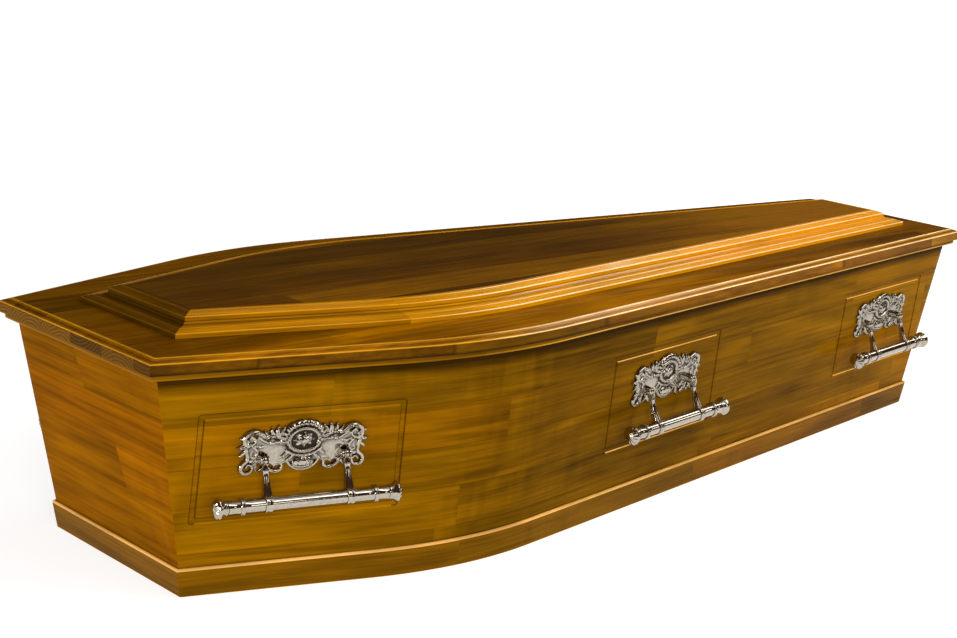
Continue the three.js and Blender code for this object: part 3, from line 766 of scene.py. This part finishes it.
# Profiles as (distance outwards, height), each with the radius of its corners
skirting_outer = GAP + SKIRTING_THICKNESS
skirting = rounded(
    [(GAP, 0), (skirting_outer, 0), (skirting_outer, SKIRTING_HEIGHT), (GAP, SKIRTING_HEIGHT)],
    [0, 0.6, 3.5, 0], 6)
rim_inner = -LID_OVERHANG - WALL
rim = rounded(
    [(-RIM_INSET, RIM_BOTTOM), (-RIM_INSET, LID_BOTTOM - GAP), (rim_inner, LID_BOTTOM - GAP),
     (rim_inner, RIM_BOTTOM)], [3, 0.5, 0, 0])
upper_face_top = RAISED_TOP - 5
upper_face_bottom = upper_face_top - 7
lower_face_top = LID_TOP + 7.5
lower_top = lower_face_top + 4
seat = RAISED_TOP - PANEL_THICKNESS - GAP
rebate = -TOP_BORDER - PANEL_REBATE
moulding = rounded(
    [(-TOP_BORDER, RAISED_TOP), (0, RAISED_TOP), (15, upper_face_top), (15, upper_face_bottom),
     (22, lower_top + 0.8), (33, lower_top), (47, lower_face_top), (47, RAISED_BOTTOM),
     (rebate, RAISED_BOTTOM), (rebate, seat), (-TOP_BORDER, seat)],
    [0, 1.6, 1.0, 0.6, 3, 1.6, 1.0, 0, 0, 0, 0], 5)
lid_profile = rounded(
    [(0, LID_BOTTOM), (0, LID_BOTTOM + 5), (0, LID_FACE_TOP - 2.4), (0, LID_FACE_TOP),
     (-6.5, LID_FACE_TOP + 1.7), (-14, LID_TOP), (-30, LID_TOP)], [0, 0, 0, 1.0, 3, 1.6, 0], 5)
end_board = [(0, 0), (0, BOX_HEIGHT), (-WALL, BOX_HEIGHT), (-WALL, 0)]
panel_edge = -TOP_BORDER - GAP
top_panel = [(panel_edge, RAISED_TOP - PANEL_THICKNESS), (panel_edge, RAISED_TOP - 0.4),
             (panel_edge - 0.4, RAISED_TOP)]
floor_edge = -WALL - GAP

for label in SIDES:
    side_board(label)
for label in ("head", "foot"):
    strip(f"{label}_board", end_board, box_at, label, wood_end, SEEDS["end_board"], count=40)
for label in ("near", "far", "head", "foot"):
    strip(f"skirting_{label}", skirting, box_at, label, wood_trim, SEEDS["skirting"],
          highlight_strength=SKIRTING_HIGHLIGHT)
    strip(f"rim_{label}", rim, lid_at, label, wood_trim, SEEDS["rim"], highlight_strength=RIM_HIGHLIGHT)
    # The head's moulding takes the top's darker tones as painted shade; the head and far mouldings
    # get weaker painted highlights
    strip(f"raised_moulding_{label}", moulding, raised_at, label,
          wood_top_shaded if label == "head" else wood_moulding_lit, SEEDS["moulding"],
          profile_shading=moulding_painted_shade, highlight_strength=FAR_MOULDING_HIGHLIGHT if label in ("head", "far") else EDGE_HIGHLIGHT)
board("lid_board", lid_profile, lid_at, wood_lid_shaded, wood_end_grain, lid_painted_shading)
board("top_panel", top_panel, raised_at, wood_top_shaded)
board("floor_board", [(floor_edge, 0), (floor_edge, FLOOR_THICKNESS)], box_at, raw_wood)


def curve_points(controls, steps=14):
    """A smooth curve through control points of (u, v, radius)."""
    controls = np.array(controls, float)
    padded = np.vstack([2 * controls[0] - controls[1], controls, 2 * controls[-1] - controls[-2]])
    points = []
    for a, b, c, d in zip(padded[:-3], padded[1:-2], padded[2:-1], padded[3:]):
        for k in np.linspace(0, 1, steps, endpoint=False):
            points.append(0.5 * (2 * b + (c - a) * k + (2 * a - 5 * b + 4 * c - d) * k ** 2
                                 + (3 * b - 3 * c + d - a) * k ** 3))
    points.append(controls[-1])
    return np.array(points)


# Scrolls and leaves of one half of the plate: lift above the web, then points of (u, v, radius)
SCROLLS = [
    (2.6, [(24, -4, 2.0), (33, 7, 3.4), (46, 12, 3.8), (58, 11, 3.8), (66, 17, 4.4), (77, 20, 4.4),
           (88, 14, 3.9), (89, 4, 3.3), (80, 0, 2.7), (73, 6, 2.2), (77, 12, 1.9), (82, 9, 1.5)]),
    (1.8, [(88, -2, 3.2), (85, -12, 3.4), (84, -22, 3.6), (91, -29, 3.6), (93, -37, 3.4),
           (87, -43, 3.1), (79, -41, 2.7), (76, -34, 2.2), (82, -30, 1.8), (86, -35, 1.5)]),
    (1.6, [(70, -24, 2.2), (60, -28, 2.8), (52, -38, 3.4), (42, -43, 3.2), (33, -40, 2.8),
           (33, -32, 2.3), (41, -30, 1.9), (44, -36, 1.5)]),
    (1.2, [(36, -27, 2.0), (26, -28, 2.4), (18, -37, 2.4), (8, -42.5, 2.2), (0, -43.5, 2.0)]),
    (2.4, [(27, -12, 2.4), (15, -19, 2.8), (0, -22, 3.0)]),
    (2.2, [(29, -2, 2.2), (39, 2, 2.8), (50, 1, 2.6), (58, 4, 2.4), (67, 10, 2.2)]),
    (2.0, [(76, -3, 2.6), (70, -10, 2.8), (73, -19, 2.6), (79, -17, 2.0), (77, -11, 1.6)]),
    (1.4, [(54, -7, 1.8), (60, -11, 2.0), (52, -20, 2.0), (54, -26, 1.8)]),
]
LEAVES = [
    (2.4, [(36, 9, 3.4), (34, 17, 3.6), (29, 25, 0.9)]),
    (2.6, [(39, 10, 3.6), (41, 19, 3.8), (39, 27.5, 0.9)]),
    (2.4, [(44, 11, 3.4), (49, 18, 3.4), (50, 25, 0.9)]),
    (2.0, [(50, 10, 2.8), (57, 15, 2.8), (60, 21, 0.8)]),
    (2.2, [(84, 0, 4.2), (92, -2, 3.6), (99.5, -3, 1.6)]),
    (1.8, [(84, 6, 3.0), (90, 9, 2.8), (95.5, 11, 1.5)]),
    (1.6, [(86, -8, 3.0), (91, -12, 2.8), (95, -16, 1.5)]),
    (2.0, [(72, -1, 3.0), (65, -3, 2.8), (57, -3, 1.2)]),
    (1.8, [(68, 14, 2.6), (62, 6, 2.6), (54, 6, 1.2)]),
    (1.6, [(74, -30, 2.6), (67, -26, 2.4), (60, -29, 1.0)]),
    (1.8, [(31, 8, 3.0), (35, 2, 2.8), (34, -5, 1.2)]),
    (1.6, [(48, 6, 2.4), (44, 0, 2.2), (46, -5, 1.0)]),
    (1.6, [(84, -22, 2.6), (78, -24, 2.6), (72, -19, 0.8)]),
    (1.6, [(52, -30, 3.0), (60, -36, 2.8), (66, -42, 0.8)]),
    (1.4, [(72, -28, 2.6), (71, -36, 2.4), (68, -43, 0.8)]),
    (2.0, [(24, -14, 3.2), (31, -20, 2.8), (38, -22, 0.8)]),
    (2.0, [(18, -22, 3.0), (25, -27, 2.6), (31, -27, 0.8)]),
    (1.6, [(80, 14, 2.4), (74, 8, 2.0), (66, 6, 0.7)]),
    (2.2, [(26, 15, 3.2), (24, 23, 3.2), (19, 30, 0.9)]),
]
WEB_TOP = [(0, 24), (28, 17), (46, 15), (60, 9), (78, 12), (88, 0)]
WEB_BOTTOM = [(86, -12), (82, -28), (66, -29), (52, -30), (44, -36), (34, -34), (22, -30), (0, -32)]


def dome(share):
    """Height of a half round, at a share of the way from its middle to its edge."""
    return np.sqrt(np.clip(1 - share ** 2, 0, 1))


def to_line(u, v, start, end):
    """Share along a straight line, and distance from it, at places on the plate."""
    across, up = end[0] - start[0], end[1] - start[1]
    k = ((u - start[0]) * across + (v - start[1]) * up) / max(across ** 2 + up ** 2, 1e-9)
    k = np.clip(k, 0, 1)
    return k, np.hypot(u - start[0] - k * across, v - start[1] - k * up)


def stroke_field(u, v, controls):
    """Distance inside a stroke, share of the way across it and half its width."""
    points = curve_points(controls)
    inside = np.full(u.shape, -99.0)
    share = np.ones_like(u)
    width = np.ones_like(u)
    for start, end in zip(points[:-1], points[1:]):
        k, distance = to_line(u, v, start, end)
        radius = start[2] + k * (end[2] - start[2])
        better = radius - distance > inside
        inside = np.where(better, radius - distance, inside)
        share = np.where(better, distance / radius, share)
        width = np.where(better, radius, width)
    return inside, share, width


def polygon_field(u, v, corners):
    """Distance inside a closed polygon."""
    nearest = np.full(u.shape, 1e9)
    inside = np.zeros(u.shape, bool)
    for start, end in zip(corners, corners[1:] + corners[:1]):
        nearest = np.minimum(nearest, to_line(u, v, start, end)[1])
        if start[1] != end[1]:
            crosses = (start[1] > v) != (end[1] > v)
            place = start[0] + (v - start[1]) / (end[1] - start[1]) * (end[0] - start[0])
            inside ^= crosses & (u < place)
    return np.where(inside, nearest, -nearest)


def plate_relief(u, v):
    """Inside distance and height of the handle plate: web, crown, scrolls and leaves."""
    a = np.abs(u)
    web = WEB_TOP + WEB_BOTTOM
    field = polygon_field(u, v, web + [(-x, y) for x, y in web[::-1]])
    height = 2.6 * dome(1 - np.clip(field / 1.6, 0, 1))

    def add(inside, raised):
        nonlocal field, height
        field = np.maximum(field, inside)
        height = np.maximum(height, np.where(inside > 0, raised, 0))

    def oval(half_width, half_height, middle=MEDALLION_V):
        return np.hypot(u / half_width, (v - middle) / half_height)

    # Strokes: their swell, depth and reach of the line down their middle, and flutes
    kinds = ((SCROLLS, 1.05, 0.24, 0.26, 0), (LEAVES, 0.95, 0.3, 0.2, 0.12))
    for strokes, swell, groove, groove_reach, flute in kinds:
        for lift, controls in strokes:
            inside, share, width = stroke_field(a, v, controls)
            channel = groove * np.exp(-(share / groove_reach) ** 2)
            flutes = 1 + flute * np.cos(share * 9.0) * share
            add(inside, (lift + width * swell) * dome(share) * (1 - channel) * flutes)

    # Fluted crown over the medallion
    angle = np.arctan2((v - MEDALLION_V) / 27, u / 32)
    crown = np.where(v > 0, 5.4 - np.abs(oval(32, 27) - 0.96) * 29, -9)
    flutes = 1 + 0.1 * np.cos(angle * 26)
    add(crown, (2.4 + 5.4 * np.sqrt(np.clip(crown / 5.4, 0, 1))) * flutes)

    # Ring and rosette of the medallion
    ring = 3.2 - np.abs(oval(23.5, 17.5) - 1) * 20
    ring_share = np.clip(ring / 3.2, 0, 1)
    beads = 1 + 0.06 * np.cos(angle * 40)
    add(ring, (3.6 + 3.4 * np.sqrt(ring_share * (2 - ring_share))) * beads)
    dish = oval(20, 14.5)
    height = np.where(dish < 1, 2.2 + 1.2 * dish ** 2, height)
    angle = np.arctan2((v - MEDALLION_V) / 12.5, u / 17)
    petals = oval(17, 12.5)
    petals_edge = 0.86 + 0.12 * np.cos(angle * 8)
    flutes = 1 + 0.1 * np.cos(angle * 16)
    add((petals_edge - petals) * 12, 2.6 + 4.6 * dome(petals / petals_edge) * flutes)
    core = oval(8.5, 6.5)
    core_edge = 0.88 + 0.1 * np.cos(angle * 6 + 1)
    add((core_edge - core) * 6, 6.2 + 3.6 * dome(core / core_edge))

    # Shell at the foot
    shell = oval(17, 9.5, -32.5)
    ribs = 1 + 0.09 * np.cos(np.arctan2(v + 46, u) * 18) * np.clip((v + 40) / 12, 0, 1)
    add((1 - shell) * 9.5, 2.0 + 5.8 * dome(shell) * ribs)

    # Small beads between the garland and the ring
    bead = 1.9
    for bead_u, bead_v in ((0, -16.5), (8, -15.5), (15.5, -12.5), (22, -7.5), (27, 1), (28.5, 9)):
        distance = np.hypot(a - bead_u, v - bead_v)
        add(bead - distance, 4.4 + 1.8 * dome(distance / bead))
    return field, height


def handle_place(side, x):
    """Origin and axes of a handle in millimetres: X along the side, Y up its face, Z outwards."""
    along = side_along(side, x) * -side
    up = on_side(side, x, PLATE_Z + 50) - on_side(side, x, PLATE_Z - 50)
    out = unit(np.cross(along, up))
    origin = on_side(side, x, PLATE_Z) + out * PLATE_STANDOFF
    return origin, np.stack([along, np.cross(out, along), out])


def placed(points, place):
    origin, axes = place
    return np.asarray(points, float) @ axes + origin


def blurred(grid, reach):
    """A grid smoothed over a reach, in cells."""
    places = np.arange(-3 * reach, 3 * reach + 1)
    kernel = np.exp(-0.5 * (places / reach) ** 2)
    kernel /= kernel.sum()
    for axis in (0, 1):
        grid = np.apply_along_axis(np.convolve, axis, grid, kernel, mode="same")
    return grid


def plate_mesh():
    """Points, faces and painted shade of the plate; its edge is drawn in to where the relief ends.
    """
    step = 0.85
    us = np.arange(-102, 102.01, step)
    vs = np.arange(-47, 34.01, step)
    u, v = np.meshgrid(us, vs)
    field, _ = plate_relief(u, v)
    slope_v, slope_u = np.gradient(field, step)
    steep = np.maximum(slope_u ** 2 + slope_v ** 2, 0.3)
    outside = field < 0
    pull = np.where(outside, np.clip(field, -1.2, 0) / steep, 0)
    u = u - slope_u * pull
    v = v - slope_v * pull
    _, height = plate_relief(u, v)
    height = np.where(outside, 0.0, height)
    # Painted shade where the relief lies below its surroundings
    painted_shading = -np.clip((blurred(height, 4) - height + 0.1) / 1.3, 0, 0.95)
    points = spread(u.ravel(), v.ravel(), height.ravel())
    inside = ~outside.ravel()
    faces = [face for face in grid_faces(len(vs), len(us)) if inside[list(face)].any()]
    used = np.unique(np.array(faces))
    renumber = np.zeros(len(points), int)
    renumber[used] = np.arange(len(used))
    faces = [tuple(int(renumber[k]) for k in face) for face in faces]
    return points[used], faces, painted_shading.ravel()[used]


def merged(parts):
    """Several (points, faces) put together."""
    points = []
    faces = []
    start = 0
    for part_points, part_faces in parts:
        points.append(np.asarray(part_points, float))
        faces += [tuple(k + start for k in face) for face in part_faces]
        start += len(part_points)
    return np.concatenate(points), faces


def turned(profile, sides, centre, u_from=0, flutes=(0, None)):
    """A turned shape about a line along U, from (u, radius) points, closed at both ends.

    Flutes are their number and how deep they are at each point.
    """
    v, n = centre
    count, depths = flutes
    angles = np.arange(sides) / sides * 2 * math.pi
    rows = []
    for i, (u, radius) in enumerate(profile):
        r = radius * (1 + depths[i] * np.cos(angles * count) if depths else 1.0)
        rows.append(spread(u_from + u, v + r * np.cos(angles), n + r * np.sin(angles)))
    points = np.concatenate(rows)
    return points, closed_faces(points, len(rows), sides, tube=True)


def both_ways(half):
    """A profile from the middle to one end, made into one from end to end."""
    other = half[1:] if half[0][0] == 0 else half
    return [(-u, radius) for u, radius in half[::-1]] + other


def ear_shape(u_from, u_to):
    """Cheek of a pivot: a rounded plate that stands on the web and holds the pin."""
    v, n = PIN
    outline = [(v - 6.5, 1.0), (v - 5.8, 9.0)]
    for angle in np.linspace(math.radians(200), math.radians(-20), 9):
        outline.append((v + 6.0 * math.cos(angle), n + 6.0 * math.sin(angle)))
    outline += [(v + 5.8, 9.0), (v + 6.5, 1.0)]
    outline = np.array(outline)
    middle = outline.mean(axis=0)
    rows = []
    for u, shrink in ((u_from, 0.86), (u_from + 0.5, 1.0), (u_to - 0.5, 1.0), (u_to, 0.86)):
        rows.append(spread(u, *(middle + (outline - middle) * shrink).T))
    points = np.concatenate(rows)
    return points, closed_faces(points, len(rows), len(outline), tube=True)


def pivot_shapes(u):
    """Two cheeks and the pin between them."""
    cheek = 4.3
    thick = 2.8
    pin = both_ways([(7.2, 2.2), (7.4, 2.8), (8.0, 2.1), (8.4, 0.6)])
    return [ear_shape(u - cheek - thick, u - cheek), ear_shape(u + cheek, u + cheek + thick),
            turned(pin, 16, PIN, u)]


def arm_mesh(u):
    """An arm: a fluted eye on the pin, a shank that widens to a spade, a collar on the bar."""
    eye = both_ways([(0, 6.5), (1.2, 6.2), (1.6, 5.2), (2.9, 5.5), (3.7, 4.6), (3.9, 3.2)])
    start = np.array(PIN) + (-4.5, 1.6)
    reach = np.array(BAR) + (9.0, -3.8) - start
    across = unit(np.array([-reach[1], reach[0]]))

    # Share along the shank, half its width and half its depth
    stations = [
        (0.0, 2.6, 2.6), (0.07, 3.3, 3.4), (0.14, 3.8, 3.9), (0.18, 5.2, 4.2), (0.23, 5.2, 4.2),
        (0.27, 4.2, 3.2), (0.45, 4.7, 3.3), (0.62, 5.4, 3.7), (0.78, 6.3, 4.3), (0.9, 6.9, 5.0),
        (1.0, 7.0, 6.0)]
    sides = 24
    angles = np.arange(sides) / sides * 2 * math.pi
    pinch = 1 - 0.16 * np.cos(angles * 4)
    wide, deep = (np.sign(part) * np.abs(part) ** 0.8 * pinch
                  for part in (np.cos(angles), np.sin(angles)))
    rows = []
    for share, half_width, half_depth in stations:
        v, n = start + reach * share
        depth = half_depth * deep
        rows.append(spread(u + half_width * wide, v + across[0] * depth, n + across[1] * depth))
    points = np.concatenate(rows)
    shank = points, closed_faces(points, len(rows), sides, tube=True)
    collar = both_ways([(1.6, 11.7), (2.2, 12.1), (4.2, 12.4), (5.1, 12.2), (5.5, 11.6),
                        (5.5, 10.4)])
    return merged([turned(eye, 32, PIN, u), shank, turned(collar, 40, BAR, u)])


def bar_mesh():
    """The bar with a band near each end."""
    half = [(0.0, 10.0), (60.0, 10.0), (88.0, 10.0), (97.2, 10.0), (97.9, 10.3), (98.0, 12.6),
            (98.5, 13.1), (99.4, 13.2), (100.2, 12.6), (101.0, 12.4), (101.8, 12.6),
            (102.6, 13.2), (103.5, 13.1), (104.0, 12.6), (104.1, 10.3), (104.8, 10.0),
            (113.0, 9.9), (118.0, 10.1), (121.5, 10.6), (122.0, 9.6)]
    return turned(both_ways(half), 48, BAR)


def knob_mesh(hand):
    """A bell-shaped end with a fluted dome, from (u, radius, depth of the flutes)."""
    stations = [
        (0.0, 6.0, 0), (0.0, 10.4, 0), (0.5, 11.0, 0), (2.6, 11.2, 0), (3.4, 10.7, 0),
        (6.4, 11.6, 0), (9.4, 13.8, 0.02), (11.4, 15.4, 0.03), (12.6, 15.9, 0.02),
        (13.6, 15.9, 0), (14.4, 15.2, 0), (14.9, 14.6, 0.03), (16.2, 13.6, 0.07),
        (17.8, 11.6, 0.09), (19.2, 8.8, 0.1), (20.2, 5.4, 0.08), (20.6, 3.2, 0), (20.9, 2.6, 0),
        (21.0, 0.8, 0)]
    profile = [(hand * (KNOB_START + u), radius) for u, radius, _ in stations]
    return turned(profile, 64, BAR, flutes=(14, [depth for _, _, depth in stations]))


def handle_set(side_label, place_label, plate_form):
    """The six pieces of a handle. The plate belongs to the coffin; the arms, bar and knobs, which
    swing on the real handle, belong to the handle's own body.
    """
    place = handle_place(SIDES[side_label], PANEL_X[place_label])
    label = f"{side_label}_{place_label}"
    body = f"handle_{label}"
    *plate, plate_shading = plate_form
    pieces = {
        "plate": merged([plate, *pivot_shapes(-PIVOT_U), *pivot_shapes(PIVOT_U)]),
        "arm_a": arm_mesh(-PIVOT_U), "arm_b": arm_mesh(PIVOT_U), "bar": bar_mesh(),
        "knob_a": knob_mesh(-1), "knob_b": knob_mesh(1)}
    for name, (points, faces) in pieces.items():
        painted_shading = np.zeros(len(points))
        if name == "plate":
            painted_shading[:len(plate_shading)] = plate_shading
        new_piece(f"{name}_{label}_piece", placed(points, place), faces, None, painted_shading, chrome,
                  "coffin" if name == "plate" else body, [f"{name}_{label}"],
                  SMOOTH_METAL)


plate_form = plate_mesh()
for side_label in SIDES:
    for place_label in PANEL_X:
        handle_set(side_label, place_label, plate_form)


def studio_floor():
    """A pale floor that glows a little, less so close in front of the coffin."""
    mesh = bpy.data.meshes.new("studio_floor")
    half = 30.0
    corners = [(-half, -half, 0), (half, -half, 0), (half, half, 0), (-half, half, 0)]
    mesh.from_pydata(corners, [], [(0, 1, 2, 3)])
    s = Shader("studio_floor")
    place = s.object_place()
    x, y, _ = s.separate(place)
    in_front = s.total(s.times(x, -0.513), s.math("MULTIPLY_ADD", y, 0.858, 0.673))
    front = s.range(in_front, -1.4, 0.05, 0.5, 0.0)
    reach = s.length(x, y)
    dim = s.times(front, s.range(reach, 1.2, 4.6, 1.0, 0.0))
    glow = s.range(reach, 1.6, 4.5, 0.74, 1.1)
    s.look({
        "Base Color": s.ramp(s.noise(place, 0.6, 2.0), [(0.3, (0.4, 0.4, 0.4, 1)),
                                                        (0.7, (0.43, 0.43, 0.43, 1))]),
        "Roughness": 0.9, "Emission Color": (1.0, 1.0, 1.0, 1.0),
        "Emission Strength": s.times(s.math("SUBTRACT", 1.0, dim), glow)})
    mesh.materials.append(s.material)
    floor = linked("studio_floor", mesh)


def area_light(name, place, target, width, height, power, mirrored=True):
    """A soft light that the camera doesn't see, and that shines or not in reflections."""
    data = bpy.data.lights.new(name, "AREA")
    data.shape = "RECTANGLE"
    data.size = width
    data.size_y = height
    data.energy = power
    light = linked(name, data)
    light.location = place
    light.rotation_euler = (Vector(target) - Vector(place)).to_track_quat("-Z", "Y").to_euler()
    light.visible_camera = False
    light.visible_glossy = mirrored


def studio():
    studio_floor()
    world = bpy.data.worlds.new("studio")
    world.use_nodes = True
    background = world.node_tree.nodes["Background"]
    background.inputs["Color"].default_value = (1.0, 0.52, 0.3, 1.0)
    background.inputs["Strength"].default_value = 0.07
    bpy.context.scene.world = world
    area_light("overhead", (0.0, 0.0, 5.5), (0.0, 0.0, 0.0), 7.0, 7.0, 90.0)
    area_light("key", (-3.2, -3.9, 1.9), (-0.5, 0.0, 0.2), 2.6, 1.6, 180.0, mirrored=False)
    area_light("foot_key", (3.4, -4.2, 1.8), (0.8, 0.0, 0.2), 1.6, 1.6, 88.0, mirrored=False)
    area_light("front_strip", (4.0, -1.9, 4.5), (3.2, -0.4, 0.3), 11.0, 1.2, 190.0)
    area_light("beyond_foot", (4.7, 1.5, 4.1), (0.0, 0.0, 0.35), 1.8, 1.3, 60.0)

    # Narrow lights round the near side, for glints in the chrome
    away = 5.2
    for i, bearing in enumerate((-98, -62, -28)):
        turn = math.radians(bearing)
        place = (away * math.cos(turn), away * math.sin(turn), 1.75)
        area_light(f"glint_{i}", place, (0.0, 0.0, 0.2), 0.5, 1.0, 4.5)
    area_light("head_fill", (-4.2, 0.4, 0.42), (-0.95, 0.0, 0.16), 2.0, 0.4, 60.0)
    bpy.context.scene.view_settings.view_transform = "Standard"
    bpy.context.scene.view_settings.look = "None"


def photo_camera():
    """The camera as fitted to the photograph."""
    place = (-2.2976, -2.1623, 1.0416)
    yaw, pitch, roll = 0.771, 0.2464, 0.067
    level = Vector((math.sin(yaw), math.cos(yaw), 0)) * math.cos(pitch)
    forward = level - Vector((0, 0, math.sin(pitch)))
    right = Vector((math.cos(yaw), -math.sin(yaw), 0))
    up = right.cross(forward)
    turned_right = right * math.cos(roll) + up * math.sin(roll)
    turned_up = up * math.cos(roll) - right * math.sin(roll)
    turn = Matrix((turned_right, turned_up, -forward)).transposed()
    data = bpy.data.cameras.new("photo_camera")
    data.sensor_width = 36.0
    data.lens = 67.56
    data.clip_end = 100.0
    camera = linked("photo_camera", data)
    camera.matrix_world = Matrix.Translation(place) @ turn.to_4x4()
    bpy.context.scene.camera = camera


studio()
photo_camera()
